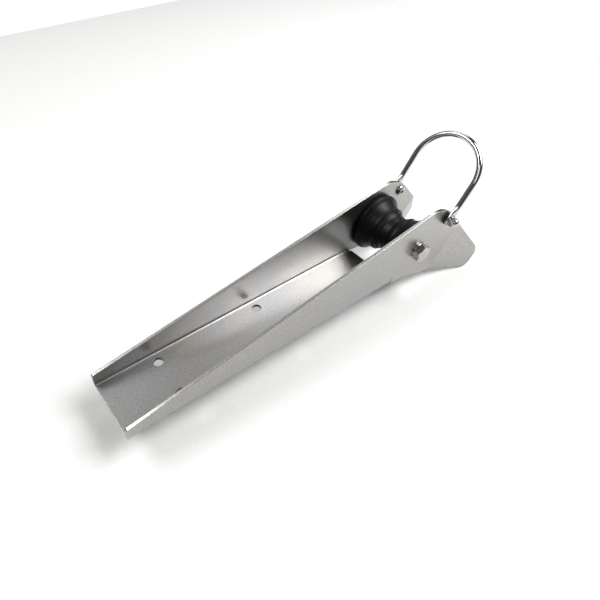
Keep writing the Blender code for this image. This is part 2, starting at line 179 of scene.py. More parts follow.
def groundEdgeMaterial(finish):
    # sheared sheet edge, ground square and eased on a belt: brighter than the faces, with cross lines
    mat, tree, coords = startMaterial("stainlessEdgeGround")
    scale = [1 / size for size in finish["cell"]]
    space = addNode(tree, "ShaderNodeMapping", {"Vector": coords, "Scale": scale})
    lines = addNode(tree, "ShaderNodeTexNoise", {
        "Vector": space, "Scale": 1.0, "Detail": 3.0, "Roughness": 0.6})
    patternFinish(tree, lines, finish, lines, {"Metallic": 1.0})
    return mat


holeFinish = {
    "cell": 0.0008,                      # torn patches, a quarter of the sheet's thickness
    # dark colours: painted shade on the hole walls, which lie in the sheet's shade
    "colours": ("#53514f", "#7d7b78"),
    "roughness": (0.42, 0.60),
    "relief": (0.0001, 0.4),
}


def punchedHoleMaterial(finish):
    # the torn wall of a punched hole: dull from the tear, and its dark colour is painted shade beside the
    # ground edges
    mat, tree, coords = startMaterial("stainlessHolePaintedShade")
    torn = addNode(tree, "ShaderNodeTexNoise", {
        "Vector": coords, "Scale": 1 / finish["cell"], "Detail": 4.0, "Roughness": 0.65})
    patternFinish(tree, torn, finish, torn, {"Metallic": 1.0})
    return mat


boltFinish = {"colours": ("#aaa69f", "#bfbbb5"), "roughness": (0.18, 0.28), "relief": (0.00002, 0.07)}
screwFinish = {"colours": ("#b3b1a8", "#c9c8c2"), "roughness": (0.20, 0.32), "relief": (0.00002, 0.07)}
ringSpacing = 0.0005      # tool marks are near 0.1 mm apart, drawn five times as coarse so that they show
bloomCell = 0.006         # grey bloom in patches as wide as a few threads


def turnedSteelMaterial(name, axis, finish):
    # A4 fastener steel, cold formed and turned: faint rings about the axis, bright with a grey bloom
    mat, tree, coords = startMaterial(name)
    centred = addNode(tree, "ShaderNodeMapping", {"Vector": coords, "Location": (-axis[0], 0, -axis[1])})
    rings = addNode(tree, "ShaderNodeTexWave", {
        "Vector": centred, "Scale": math.pi / 10 / ringSpacing, "Distortion": 1.2, "Detail": 2.0,
        "Detail Scale": 3.0}, wave_type="RINGS", rings_direction="Y")
    bloom = addNode(tree, "ShaderNodeTexNoise", {"Vector": coords, "Scale": 1 / bloomCell, "Detail": 1.5})
    patternFinish(tree, bloom, finish, rings.outputs["Fac"], {"Metallic": 1.0})
    return mat


barFinish = {
    "cell": (0.012, 0.005, 0.012),       # the buff leaves the gloss uneven in patches of about 10 mm
    "colours": ("#b9b8b6", "#cbcac8"),
    "roughness": (0.045, 0.12),
    "relief": (0.00003, 0.05),
}


def polishedBarMaterial(finish):
    # stainless bar, buffed to a mirror: hard dark and light reflections, a little uneven from the buff
    mat, tree, coords = startMaterial("stainlessBarMirrorPolished")
    scale = [1 / size for size in finish["cell"]]
    space = addNode(tree, "ShaderNodeMapping", {"Vector": coords, "Scale": scale})
    wipe = addNode(tree, "ShaderNodeTexNoise", {"Vector": space, "Scale": 1.0, "Detail": 2.0})
    patternFinish(tree, wipe, finish, wipe, {"Metallic": 1.0})
    return mat


rubberFinish = {
    "pebbleCell": 0.0007,     # the mould's pebble is near 0.3 mm, drawn twice as coarse so that it shows
    "bloomCell": 0.012,       # wax bloom comes to the surface in soft patches
    "colours": ("#050508", "#0c0c11"),
    "roughness": (0.36, 0.50),
    "relief": (0.00008, 0.30),
    "specular": 0.22,
}


def mouldedRubberMaterial(finish):
    # black EPDM rubber, compression moulded: half gloss, faintly blue where the bloom sits
    mat, tree, coords = startMaterial("rubberMouldedBlack")
    pebble = addNode(tree, "ShaderNodeTexNoise", {
        "Vector": coords, "Scale": 1 / finish["pebbleCell"], "Detail": 3.0, "Roughness": 0.6})
    bloom = addNode(tree, "ShaderNodeTexNoise", {
        "Vector": coords, "Scale": 1 / finish["bloomCell"], "Detail": 3.0})
    patternFinish(tree, bloom, finish, pebble, {"Specular IOR Level": finish["specular"]})
    return mat


paleFinish = {"colours": ("#cfcabb", "#ded9cb"), "roughness": (0.33, 0.46), "scatter": 0.15}
darkFinish = {"colours": ("#101012", "#1b1b1e"), "roughness": (0.37, 0.50), "scatter": 0.0}
# the skin's texture is near 0.3 mm, drawn four times as coarse so that it shows
nylonSkin = {"cell": 0.0012, "relief": (0.00004, 0.25), "scatterDepth": 0.001}


def nylonMaterial(name, finish):
    # nylon, injection moulded or turned from rod: waxy, with a soft edge to its highlights
    finish = {**nylonSkin, **finish}
    mat, tree, coords = startMaterial(name)
    skin = addNode(tree, "ShaderNodeTexNoise", {"Vector": coords, "Scale": 1 / finish["cell"], "Detail": 3.0})
    patternFinish(tree, skin, finish, skin, {
        "Subsurface Weight": finish["scatter"], "Subsurface Scale": finish["scatterDepth"]})
    return mat


axleLine = (0.220, 0.028)       # x and z of the axle
bailLine = (0.256, 0.0525)      # x and z of the bail's screws
gap = 0.0003                    # left between pieces that touch on the real one
nodeTolerance = 1e-4
for name, line in (("axle_bolt", axleLine), ("bail_screw_port", bailLine)):
    low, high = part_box(name)
    middle = (low + high) / 2
    assert abs(middle.x - line[0]) < nodeTolerance and abs(middle.z - line[1]) < nodeTolerance

satinSheet = satinSheetMaterial(satinGrain)
groundEdge = groundEdgeMaterial(edgeFinish)
punchedHole = punchedHoleMaterial(holeFinish)
axleSteel = turnedSteelMaterial("stainlessBoltTurned", axleLine, boltFinish)
screwSteel = turnedSteelMaterial("stainlessScrewTurned", bailLine, screwFinish)
polishedBar = polishedBarMaterial(barFinish)
blackRubber = mouldedRubberMaterial(rubberFinish)
paleNylon = nylonMaterial("nylonNaturalTurned", paleFinish)
darkNylon = nylonMaterial("nylonBlackMoulded", darkFinish)
print("stage: materials made")


def newObject(name, mesh):
    obj = bpy.data.objects.new(name, mesh)
    bpy.context.scene.collection.objects.link(obj)
    return obj


def meshObject(name, bm):
    mesh = bpy.data.meshes.new(name)
    bm.to_mesh(mesh)
    bm.free()
    return newObject(name, mesh)


def settle(obj, name, smoothTo=32):
    # the evaluated shape becomes a plain mesh, faces outward, smooth but for real corners
    bpy.context.view_layer.update()
    graph = bpy.context.evaluated_depsgraph_get()
    mesh = bpy.data.meshes.new_from_object(obj.evaluated_get(graph), depsgraph=graph)
    bpy.data.objects.remove(obj)
    bm = bmesh.new()
    bm.from_mesh(mesh)
    bmesh.ops.remove_doubles(bm, verts=bm.verts, dist=1e-7)
    bmesh.ops.recalc_face_normals(bm, faces=bm.faces)
    bm.to_mesh(mesh)
    bm.free()
    mesh.name = name
    mesh.shade_smooth()
    mesh.set_sharp_from_angle(angle=math.radians(smoothTo))
    return newObject(name, mesh)


def setInput(modifier, name, value):
    # a tree's input is set by its socket's identifier
    for item in modifier.node_group.interface.items_tree:
        if item.item_type == "SOCKET" and item.in_out == "INPUT" and item.name == name:
            modifier[item.identifier] = value


def newTree(name, inputs):
    tree = bpy.data.node_groups.new(name, "GeometryNodeTree")
    tree.interface.new_socket("Geometry", in_out="INPUT", socket_type="NodeSocketGeometry")
    for label, kind in inputs:
        tree.interface.new_socket(label, in_out="INPUT", socket_type="NodeSocket" + kind)
    tree.interface.new_socket("Geometry", in_out="OUTPUT", socket_type="NodeSocketGeometry")
    return tree, addNode(tree, "NodeGroupInput").outputs


def endTree(tree, geometry, material):
    real = addNode(tree, "GeometryNodeRealizeInstances", {"Geometry": geometry})
    coloured = addNode(tree, "GeometryNodeSetMaterial", {"Geometry": real, "Material": material})
    addNode(tree, "NodeGroupOutput", {"Geometry": coloured})


def makeTurningTree():
    # turns a profile of (radius, along) points about a line along Y, with an optional screw thread
    tree, given = newTree("turnedAboutY", [
        ("Steps", "Int"), ("Centre", "Vector"), ("Thread Pitch", "Float"), ("Thread Depth", "Float"),
        ("Thread Start", "Float"), ("Thread End", "Float"), ("Material", "Material"),
    ])
    size = addNode(tree, "GeometryNodeAttributeDomainSize", {"Geometry": given["Geometry"]})
    count = size.outputs["Point Count"]
    rows = addNode(tree, "ShaderNodeMath", {0: given["Steps"], 1: 1}, operation="ADD")
    grid = addNode(tree, "GeometryNodeMeshGrid", {"Vertices X": rows, "Vertices Y": count})
    index = addNode(tree, "GeometryNodeInputIndex")
    onProfile = addNode(tree, "ShaderNodeMath", {0: index, 1: count}, operation="MODULO")
    before = addNode(tree, "ShaderNodeMath", {0: index, 1: onProfile}, operation="SUBTRACT")
    turn = addNode(tree, "ShaderNodeMath", {0: before, 1: count}, operation="DIVIDE")
    share = addNode(tree, "ShaderNodeMath", {0: turn, 1: given["Steps"]}, operation="DIVIDE")
    place = addNode(tree, "GeometryNodeInputPosition")
    sample = addNode(tree, "GeometryNodeSampleIndex", {
        "Geometry": given["Geometry"], "Value": place, "Index": onProfile}, data_type="FLOAT_VECTOR")
    split = addNode(tree, "ShaderNodeSeparateXYZ", {0: sample})
    along = split.outputs[1]
    # the thread's V: deepest half a pitch from its crest, and only between its two ends
    pitches = addNode(tree, "ShaderNodeMath", {0: along, 1: given["Thread Pitch"]}, operation="DIVIDE")
    phase = addNode(tree, "ShaderNodeMath", {0: pitches, 1: share}, operation="ADD")
    wave = addNode(tree, "ShaderNodeMath", {0: phase, 1: 0.5}, operation="PINGPONG")
    steep = addNode(tree, "ShaderNodeMath", {0: wave, 1: 2.5}, operation="MULTIPLY")
    groove = addNode(tree, "ShaderNodeMath", {0: steep, 1: 1.0}, operation="MINIMUM")
    start, end = given["Thread Start"], given["Thread End"]
    pastStart = addNode(tree, "ShaderNodeMath", {0: along, 1: start}, operation="GREATER_THAN")
    beforeEnd = addNode(tree, "ShaderNodeMath", {0: along, 1: end}, operation="LESS_THAN")
    threaded = addNode(tree, "ShaderNodeMath", {0: pastStart, 1: beforeEnd}, operation="MULTIPLY")
    depth = addNode(tree, "ShaderNodeMath", {0: threaded, 1: given["Thread Depth"]}, operation="MULTIPLY")
    cut = addNode(tree, "ShaderNodeMath", {0: groove, 1: depth}, operation="MULTIPLY")
    radius = addNode(tree, "ShaderNodeMath", {0: split, 1: cut}, operation="SUBTRACT")
    unturned = addNode(tree, "ShaderNodeCombineXYZ", {0: radius, 1: along})
    angle = addNode(tree, "ShaderNodeMath", {0: share, 1: -2 * math.pi}, operation="MULTIPLY")
    turned = addNode(tree, "ShaderNodeVectorRotate", {"Vector": unturned, "Angle": angle},
                     rotation_type="Y_AXIS")
    shaped = addNode(tree, "GeometryNodeSetPosition", {
        "Geometry": grid, "Position": turned, "Offset": given["Centre"]})
    closed = addNode(tree, "GeometryNodeMergeByDistance", {"Geometry": shaped, "Distance": 1e-6})
    endTree(tree, closed, given["Material"])
    return tree


def makePairTree():
    # repeats a fixing on both cheeks: a second copy is turned half round about an upright line
    tree, given = newTree("oneOnEachCheek", [("Line", "Float"), ("Material", "Material")])
    points = addNode(tree, "GeometryNodeMeshLine", {"Count": 2, "Offset": (0, 0, 0)})
    index = addNode(tree, "GeometryNodeInputIndex")
    halfTurn = addNode(tree, "ShaderNodeMath", {0: index, 1: math.pi}, operation="MULTIPLY")
    turn = addNode(tree, "ShaderNodeCombineXYZ", {2: halfTurn})
    back = addNode(tree, "ShaderNodeMath", {0: given["Line"], 1: -1}, operation="MULTIPLY")
    toLine = addNode(tree, "ShaderNodeCombineXYZ", {0: back})
    fromLine = addNode(tree, "ShaderNodeCombineXYZ", {0: given["Line"]})
    centred = addNode(tree, "GeometryNodeTransform", {"Geometry": given["Geometry"], "Translation": toLine})
    copies = addNode(tree, "GeometryNodeInstanceOnPoints", {
        "Points": points, "Instance": centred, "Rotation": turn})
    real = addNode(tree, "GeometryNodeRealizeInstances", {"Geometry": copies})
    placed = addNode(tree, "GeometryNodeTransform", {"Geometry": real, "Translation": fromLine})
    endTree(tree, placed, given["Material"])
    return tree


turningTree = makeTurningTree()
pairTree = makePairTree()


def arcPoints(centre, radius, start, end, degrees=6):
    # points of a circle from one angle to another, both ends included
    steps = max(2, math.ceil(abs(end - start) / degrees))
    turns = [math.radians(start + (end - start) * i / steps) for i in range(steps + 1)]
    return [(centre[0] + radius * math.cos(t), centre[1] + radius * math.sin(t)) for t in turns]


def roundedOutline(corners, degrees):
    # a closed outline from (a, b, radius) corners, each turned in steps of some degrees
    found = []
    for i, (a, b, radius) in enumerate(corners):
        here = Vector((a, b))
        if not radius:
            found.append((a, b))
            continue
        back = (Vector(corners[i - 1][:2]) - here).normalized()
        ahead = (Vector(corners[(i + 1) % len(corners)][:2]) - here).normalized()
        half = back.angle(ahead) / 2
        centre = here + (back + ahead).normalized() * radius / math.sin(half)
        first = here + back * radius / math.tan(half) - centre
        turn = math.pi - 2 * half
        side = 1 if back.x * ahead.y - back.y * ahead.x < 0 else -1
        steps = math.ceil(math.degrees(turn) / degrees)
        for k in range(steps + 1):
            found.append(tuple(centre + Matrix.Rotation(side * turn * k / steps, 2) @ first))
    return found


def turnedPiece(name, profile, line, material, steps=96, place=0.0, thread=None, closed=False):
    # profile: (radius, along) points; thread: (pitch, depth, start, end)
    bm = bmesh.new()
    for radius, along in (profile + profile[:1] if closed else profile):
        bm.verts.new((radius, along, 0))
    obj = meshObject(name, bm)
    modifier = obj.modifiers.new("turned", "NODES")
    modifier.node_group = turningTree
    setInput(modifier, "Steps", steps)
    setInput(modifier, "Centre", (line[0], place, line[1]))
    pitch, depth, start, end = thread or (1.0, 0.0, 0.0, 0.0)
    setInput(modifier, "Thread Pitch", pitch)
    setInput(modifier, "Thread Depth", depth)
    setInput(modifier, "Thread Start", start)
    setInput(modifier, "Thread End", end)
    setInput(modifier, "Material", material)
    return settle(obj, name)


def onBothCheeks(obj, name, line, material):
    modifier = obj.modifiers.new("pair", "NODES")
    modifier.node_group = pairTree
    setInput(modifier, "Line", line[0])
    setInput(modifier, "Material", material)
    return settle(obj, name)


def combine(obj, operation, other):
    modifier = obj.modifiers.new("combine", "BOOLEAN")
    modifier.operation = operation
    modifier.object = other
    name = obj.name
    made = settle(obj, name)
    bpy.data.objects.remove(other)
    return made


def evenShading(obj):
    # big flat faces keep their own normal and the eased edges carry the turn, as the mesh's own normals
    modifier = obj.modifiers.new("even", "WEIGHTED_NORMAL")
    modifier.weight = 100
    modifier.keep_sharp = True
    bpy.context.view_layer.update()
    graph = bpy.context.evaluated_depsgraph_get()
    name = obj.name
    mesh = bpy.data.meshes.new_from_object(
        obj.evaluated_get(graph), preserve_all_data_layers=True, depsgraph=graph)
    bpy.data.objects.remove(obj)
    return newObject(name, mesh)


def easeEdges(obj, width, sharperThan):
    ease = obj.modifiers.new("eased", "BEVEL")
    ease.width = width
    ease.segments = 2
    ease.limit_method = "ANGLE"
    ease.angle_limit = math.radians(sharperThan)
    return evenShading(settle(obj, obj.name))


def finishPiece(obj, body, nodes):
    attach(obj, body)
    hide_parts(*nodes)


sheetSizes = {
    "thick": 0.003, "width": 0.065, "aftEnd": -0.109, "length": 0.300,
    "foldRadius": 0.0035, "lipFoldRadius": 0.003, "lipDrop": 0.0055, "relief": 0.001, "edgeEase": 0.00085,
    "aftWall": 0.015, "aftCorner": 0.0025, "wallSlope": 9.1, "shoulderRadius": 0.042,
    "frontSlope": 47.0, "frontMargin": 0.0078, "frontRun": 0.0342,
    "flareAngle": 20.0, "flareLean": 54.1, "flareFold": 0.0575, "flareFoldRadius": 0.006,
    "flareLength": 0.0490, "flareTopFall": 0.0141, "flareFootRise": 0.0191, "noseRadius": 0.012,
    "deckHole": 0.009, "deckHoleX": 0.054, "deckHoleY": 0.0192,
    "axleHole": 0.0106, "bailHole": 0.0066, "drill": 0.01,
    "arcStep": 4.0, "bendStep": 7.5,         # degrees
    "slitEase": 0.4, "holeEase": 0.5,        # share of the easing
}


def cheekOutline(s):
    # one side wall and cheek, flat, before its flare is turned out
    footHeight = s["thick"] / 2 + s["foldRadius"]
    baseEnd = s["aftEnd"] + s["length"]
    baseFront = baseEnd - s["thick"] / 2 - s["lipFoldRadius"]
    climb = math.tan(math.radians(s["wallSlope"]))
    slope = math.radians(s["frontSlope"])
    edge = Vector((math.cos(slope), -math.sin(slope)))
    beside = Vector(bailLine) + Vector((-edge.y, edge.x)) * s["frontMargin"]
    wallAt = s["aftWall"] + climb * (beside.x - s["aftEnd"])
    shoulder = beside + edge * (wallAt - beside.y) / (edge.y - climb * edge.x)
    foldTop = beside + edge * s["frontRun"]
    lean = math.radians(s["flareLean"])
    down = -Vector((math.cos(lean), math.sin(lean)))
    out = Vector((-down.y, down.x))
    foldFoot = foldTop + down * s["flareFold"]
    tipTop = foldTop + out * s["flareLength"] + down * s["flareTopFall"]
    tipFoot = foldFoot + out * s["flareLength"] - down * s["flareFootRise"]
    corners = [
        (s["aftEnd"], footHeight, 0), (s["aftEnd"], s["aftWall"], s["aftCorner"]),
        (*shoulder, s["shoulderRadius"]), (*foldTop, 0),
        (*tipTop, s["noseRadius"]), (*tipFoot, s["noseRadius"]),
    ]
    # the lower edge sweeps from the flare's foot up to the base
    sweep = 12
    for i in range(sweep + 1):
        share = i / sweep
        x = foldFoot.x + (baseEnd - foldFoot.x) * share
        corners.append((x, foldFoot.y * (1 + math.cos(math.pi * share)) / 2, 0))
    slit = s["relief"]
    corners += [
        (baseFront + slit, 0, 0), (baseFront + slit, footHeight + slit, 0),
        (baseFront, footHeight + slit, 0), (baseFront, footHeight, 0),
    ]
    return roundedOutline(corners, s["arcStep"]), foldTop, out


def turnFlare(bm, foldTop, out, s, midWall):
    # what lies beyond the fold line is rolled outward, to starboard
    forward = Vector((out.x, 0, out.y))
    origin = Vector((foldTop.x, -midWall, foldTop.y))
    angle = math.radians(s["flareAngle"])
    zone = s["flareFoldRadius"] * angle
    steps = 6
    for i in range(steps + 1):
        bmesh.ops.bisect_plane(
            bm, geom=bm.verts[:] + bm.edges[:] + bm.faces[:], dist=1e-6,
            plane_co=origin + forward * zone * (i / steps - 0.5), plane_no=forward,
        )
    for vert in bm.verts:
        along = (vert.co - origin).dot(forward) + zone / 2
        if along > 0:
            turned = min(along, zone) / s["flareFoldRadius"]
            beyond = max(along - zone, 0)
            ahead = s["flareFoldRadius"] * math.sin(turned) + beyond * math.cos(angle)
            side = s["flareFoldRadius"] * (1 - math.cos(turned)) + beyond * math.sin(angle)
            vert.co += forward * (ahead - along) - Vector((0, side, 0))


def addStrips(bm, points, start, end, place):
    # a fold as a run of flats: points across it, from one end to the other
    for (a0, b0), (a1, b1) in zip(points, points[1:]):
        ends = [place(start, a0, b0), place(end, a0, b0), place(end, a1, b1), place(start, a1, b1)]
        bm.faces.new([bm.verts.new(point) for point in ends])


def addCylinder(bm, diameter, centre, direction, length, segments=64):
    turn = Vector((0, 0, 1)).rotation_difference(Vector(direction)).to_matrix().to_4x4()
    bmesh.ops.create_cone(
        bm, cap_ends=True, segments=segments, radius1=diameter / 2, radius2=diameter / 2,
        depth=length, matrix=Matrix.Translation(centre) @ turn,
    )


edgeSlot, holeSlot = 1, 2       # the channel's material slots after its satin faces


def weighEdges(channel, s, baseFront):
    # how much of the easing each sheared edge gets: less round the holes and the relief slits
    slitReach = (0.003, 0.008)      # along the base, and up from its underside
    bm = bmesh.new()
    bm.from_mesh(channel.data)
    weight = bm.edges.layers.float.new("bevel_weight_edge")
    for edge in bm.edges:
        if len(edge.link_faces) != 2 or edge.calc_face_angle() < math.radians(50):
            continue
        middle = (edge.verts[0].co + edge.verts[1].co) / 2
        atSlit = abs(middle.x - baseFront) < slitReach[0] and middle.z < slitReach[1]
        atHole = any(face.material_index == holeSlot for face in edge.link_faces)
        edge[weight] = s["slitEase"] if atSlit else s["holeEase"] if atHole else 1.0
    bm.to_mesh(channel.data)
    bm.free()


def makeChannel(s):
    midWall = s["width"] / 2 - s["thick"] / 2
    flatHalf = midWall - s["foldRadius"]
    footHeight = s["thick"] / 2 + s["foldRadius"]
    level = s["thick"] / 2
    baseFront = s["aftEnd"] + s["length"] - s["thick"] / 2 - s["lipFoldRadius"]
    outline, foldTop, out = cheekOutline(s)
    bm = bmesh.new()
    bm.faces.new([bm.verts.new((x, -midWall, z)) for x, z in outline])
    turnFlare(bm, foldTop, out, s, midWall)
    for item in bmesh.ops.duplicate(bm, geom=bm.verts[:] + bm.edges[:] + bm.faces[:])["geom"]:
        if isinstance(item, bmesh.types.BMVert):
            item.co.y = -item.co.y
    bend = arcPoints((flatHalf, footHeight), s["foldRadius"], 0, -90, s["bendStep"])
    for side in (-1, 1):
        addStrips(bm, bend, s["aftEnd"], baseFront, lambda x, y, z: (x, side * y, z))
    lipHalf = flatHalf - s["relief"]
    bm.faces.new([bm.verts.new((x, y, level)) for x, y in (
        (s["aftEnd"], -flatHalf), (baseFront, -flatHalf), (baseFront, -lipHalf),
        (baseFront, lipHalf), (baseFront, flatHalf), (s["aftEnd"], flatHalf))])
    bend = arcPoints((baseFront, level - s["lipFoldRadius"]), s["lipFoldRadius"], 90, 0, s["bendStep"])
    bend.append((bend[-1][0], -s["lipDrop"]))
    addStrips(bm, bend, -lipHalf, lipHalf, lambda y, x, z: (x, y, z))
    bmesh.ops.remove_doubles(bm, verts=bm.verts, dist=1e-6)
    bmesh.ops.recalc_face_normals(bm, faces=bm.faces)
    channel = meshObject("channelSheet", bm)
    for material in (satinSheet, groundEdge, punchedHole):
        channel.data.materials.append(material)

    thicken = channel.modifiers.new("sheet", "SOLIDIFY")
    thicken.thickness = s["thick"]
    thicken.offset = 0
    thicken.use_even_offset = True
    thicken.use_quality_normals = True
    thicken.material_offset_rim = edgeSlot
    channel = settle(channel, "channelSheet")

    cutter = bmesh.new()
    for x in (-s["deckHoleX"], s["deckHoleX"]):
        for y in (-s["deckHoleY"], s["deckHoleY"]):
            addCylinder(cutter, s["deckHole"], (x, y, level), (0, 0, 1), s["drill"])
    for line, hole in ((axleLine, s["axleHole"]), (bailLine, s["bailHole"])):
        for y in (-midWall, midWall):
            addCylinder(cutter, hole, (line[0], y, line[1]), (0, 1, 0), s["drill"])
    holes = meshObject("sheetHoles", cutter)
    holes.data.materials.append(punchedHole)
    channel = combine(channel, "DIFFERENCE", holes)
    weighEdges(channel, s, baseFront)
    ease = channel.modifiers.new("eased", "BEVEL")
    ease.width = s["edgeEase"]
    ease.segments = 4
    ease.limit_method = "WEIGHT"
    ease.material = edgeSlot
    channel = evenShading(settle(channel, "channelSheet", 40))
    finishPiece(channel, "frame", ["channel"])


makeChannel(sheetSizes)
outerWall = sheetSizes["width"] / 2
innerWall = outerWall - sheetSizes["thick"]
print("stage: channel folded")


spoolSizes = {
    "half": 0.0274,           # half its length between the thrust washers
    "bore": 0.0081, "rim": 0.0315, "rimWide": 0.0036,
    "coneTop": (0.0285, 0.0215), "coneFoot": (0.02425, 0.0125), "ledge": 0.0085,
    "hub": 0.0215, "groove": 0.01975, "grooveHalf": 0.0045,
    "beadAt": 0.30,           # where the low moulded ring sits, as a share of the way down each cone
    "bush": (0.0053, 0.0078), "bushEdge": 0.0003,
    "endHollow": (0.0135, 0.0255, 0.0030),   # inner and outer radius of the hollow in each end, and its depth
}


def makeSpool(s):
    half = s["half"]
    inner, outer, deep = s["endHollow"]
    topR, topY = s["coneTop"]
    footR, footY = s["coneFoot"]
    beadR = topR + (footR - topR) * s["beadAt"]
    beadY = topY + (footY - topY) * s["beadAt"]
    # each corner's radius from the axle, place along it and rounding, from the bore out and in to the groove
    corners = [
        (s["bore"], half, 0.0005), (inner, half, 0.0006), (inner, half - deep, 0.0006),
        (outer, half - deep, 0.0006), (outer, half, 0.0008),
        (s["rim"], half, 0.0016), (s["rim"], half - s["rimWide"], 0.0014),
        (topR + 0.0004, topY + 0.0003, 0.0007), (topR - 0.0006, topY - 0.0006, 0.0005),
        (beadR, beadY + 0.0006, 0.0004), (beadR - 0.0009, beadY - 0.0004, 0.0004),
        (footR - 0.0004, footY + 0.0002, 0.0008), (footR, s["ledge"] + 0.0012, 0.0008),
        (s["hub"] + 0.0007, s["ledge"], 0.0006), (s["hub"], s["grooveHalf"] + 0.0016, 0.0009),
        (s["groove"], s["grooveHalf"] - 0.0008, 0.0012),
    ]
    other = [(radius, -along, turn) for radius, along, turn in reversed(corners)]
    profile = roundedOutline(corners + other, 12)
    spool = turnedPiece("spool", profile, axleLine, blackRubber, steps=160, closed=True)
    finishPiece(spool, "roller", ["roller"])
    bore, outside = s["bush"]
    ends = [(bore, -half), (bore, half), (outside, half), (outside, -half)]
    profile = roundedOutline([(radius, along, s["bushEdge"]) for radius, along in ends], 15)
    bush = turnedPiece("spoolBush", profile, axleLine, paleNylon, closed=True)
    finishPiece(bush, "roller", ["roller_bush"])


makeSpool(spoolSizes)
print("stage: spool turned")


def washerProfile(low, high, bore, outside, edge=0.00025):
    corners = [(bore, low), (outside, low), (outside, high), (bore, high)]
    return roundedOutline([(radius, along, edge) for radius, along in corners], 18)


def hexagonPrism(name, across, low, high, line, material):
    bm = bmesh.new()
    corner = across / math.sqrt(3)
    turns = [math.radians(60 * i + 30) for i in range(6)]
    points = [(line[0] + corner * math.cos(t), low, line[1] + corner * math.sin(t)) for t in turns]
    face = bm.faces.new([bm.verts.new(point) for point in points])
    pushed = bmesh.ops.extrude_face_region(bm, geom=[face])["geom"]
    moved = [item for item in pushed if isinstance(item, bmesh.types.BMVert)]
    bmesh.ops.translate(bm, verts=moved, vec=(0, high - low, 0))
    bmesh.ops.recalc_face_normals(bm, faces=bm.faces)
    obj = meshObject(name, bm)
    obj.data.materials.append(material)
    return obj


hexagonFacing = {"face": 0.96, "slope": 30.0, "beyond": 0.001}     # face: its width as a share of the flats


def hexagonPiece(name, across, low, high, line, material, chamferLow, chamferHigh):
    # a hexagon with its corners turned off on one or both ends
    corner = across / math.sqrt(3)
    flat = across / 2 * hexagonFacing["face"]
    fall = (corner - flat) * math.tan(math.radians(hexagonFacing["slope"]))
    wide = corner + hexagonFacing["beyond"]
    bottom = [(0, low), (flat, low), (corner, low + fall)] if chamferLow else [(0, low), (wide, low)]
    top = [(corner, high - fall), (flat, high), (0, high)] if chamferHigh else [(wide, high), (0, high)]
    turned = turnedPiece(name + "Turned", bottom + top, line, material)
    return combine(hexagonPrism(name, across, low, high, line, material), "INTERSECT", turned)


axleSizes = {
    "thread": 0.010, "pitch": 0.0015, "threadDeep": 0.00085, "threadRows": 96, "tipChamfer": 0.0010,
    "flats": 0.017, "head": 0.0064, "nut": 0.0080, "collar": 0.0026, "collarShare": 0.93,
    "collarRound": 0.0012, "tail": 0.0020, "ring": 0.0063,
    "washer": 0.0185, "washerThick": 0.0016, "thrust": 0.024, "thrustThick": 0.0015,
    "threadUnder": 0.004,                    # how far the thread runs in under the nut
    "ease": 0.00018, "sharperThan": 50,      # rounding of the corners, and which corners get it, in degrees
    "overlap": 0.001,                        # how far shapes that are joined or cut run into each other
}


def makeAxle(s):
    bore = s["thread"] / 2 + gap
    seat = outerWall + s["washerThick"] + 2 * gap
    low = outerWall + gap
    profile = washerProfile(low, low + s["washerThick"], bore, s["washer"] / 2)
    washer = turnedPiece("axleWashers", profile, axleLine, axleSteel, closed=True)
    washer = onBothCheeks(washer, "axleWashers", axleLine, axleSteel)
    finishPiece(washer, "frame", ["axle_washer_starboard", "axle_washer_port"])
    high = innerWall - gap
    profile = washerProfile(high - s["thrustThick"], high, bore, s["thrust"] / 2)
    thrust = turnedPiece("thrustWashers", profile, axleLine, paleNylon, closed=True)
    thrust = onBothCheeks(thrust, "thrustWashers", axleLine, paleNylon)
    finishPiece(thrust, "frame", ["thrust_washer_starboard", "thrust_washer_port"])

    # bolt: head to starboard, shank through to the nut, threaded under the nut and beyond
    head = hexagonPiece("axleBolt", s["flats"], -seat - s["head"], -seat, axleLine, axleSteel, True, False)
    end = seat + s["nut"] + s["collar"] + s["tail"]
    start = outerWall - s["threadUnder"]
    radius = s["thread"] / 2
    chamfer = s["tipChamfer"]
    rowGap = (end - chamfer - start) / s["threadRows"]
    threaded = [(radius, start + rowGap * i) for i in range(s["threadRows"] + 1)]
    profile = [(0, -seat - s["head"] / 2), (radius, -seat - s["head"] / 2)] + threaded
    profile += [(radius - chamfer, end), (0, end)]
    shank = turnedPiece("axleShank", profile, axleLine, axleSteel, steps=64,
                        thread=(s["pitch"], s["threadDeep"], start + s["pitch"] / 3, end))
    bolt = easeEdges(combine(head, "UNION", shank), s["ease"], s["sharperThan"])
    finishPiece(bolt, "frame", ["axle_bolt"])

    # locking nut: a hexagon, a round collar and the bore, with a seat for its nylon ring
    hexTop = seat + s["nut"]
    top = hexTop + s["collar"]
    collar = s["flats"] / 2 * s["collarShare"]
    turn = s["collarRound"]
    under = hexTop - s["overlap"]
    seatUnder, topOver = seat - s["overlap"], top + s["overlap"]
    ringBore = s["ring"] + gap
    nut = hexagonPiece("axleNut", s["flats"], seat, hexTop, axleLine, axleSteel, True, True)
    profile = [(0, under), (collar, under)] + arcPoints((collar - turn, top - turn), turn, 0, 90, 15)
    nut = combine(nut, "UNION", turnedPiece("collar", profile + [(0, top)], axleLine, axleSteel))
    profile = [(0, seatUnder), (bore, seatUnder), (bore, hexTop),
               (ringBore, hexTop), (ringBore, topOver), (0, topOver)]
    nut = combine(nut, "DIFFERENCE", turnedPiece("nutBore", profile, axleLine, axleSteel))
    nut = easeEdges(nut, s["ease"], s["sharperThan"])
    finishPiece(nut, "frame", ["axle_nut"])
    profile = washerProfile(hexTop + gap, top - gap, bore, s["ring"])
    ring = turnedPiece("axleNutRing", profile, axleLine, paleNylon, closed=True)
    finishPiece(ring, "frame", ["axle_nut_ring"])


makeAxle(axleSizes)
print("stage: axle assembled")


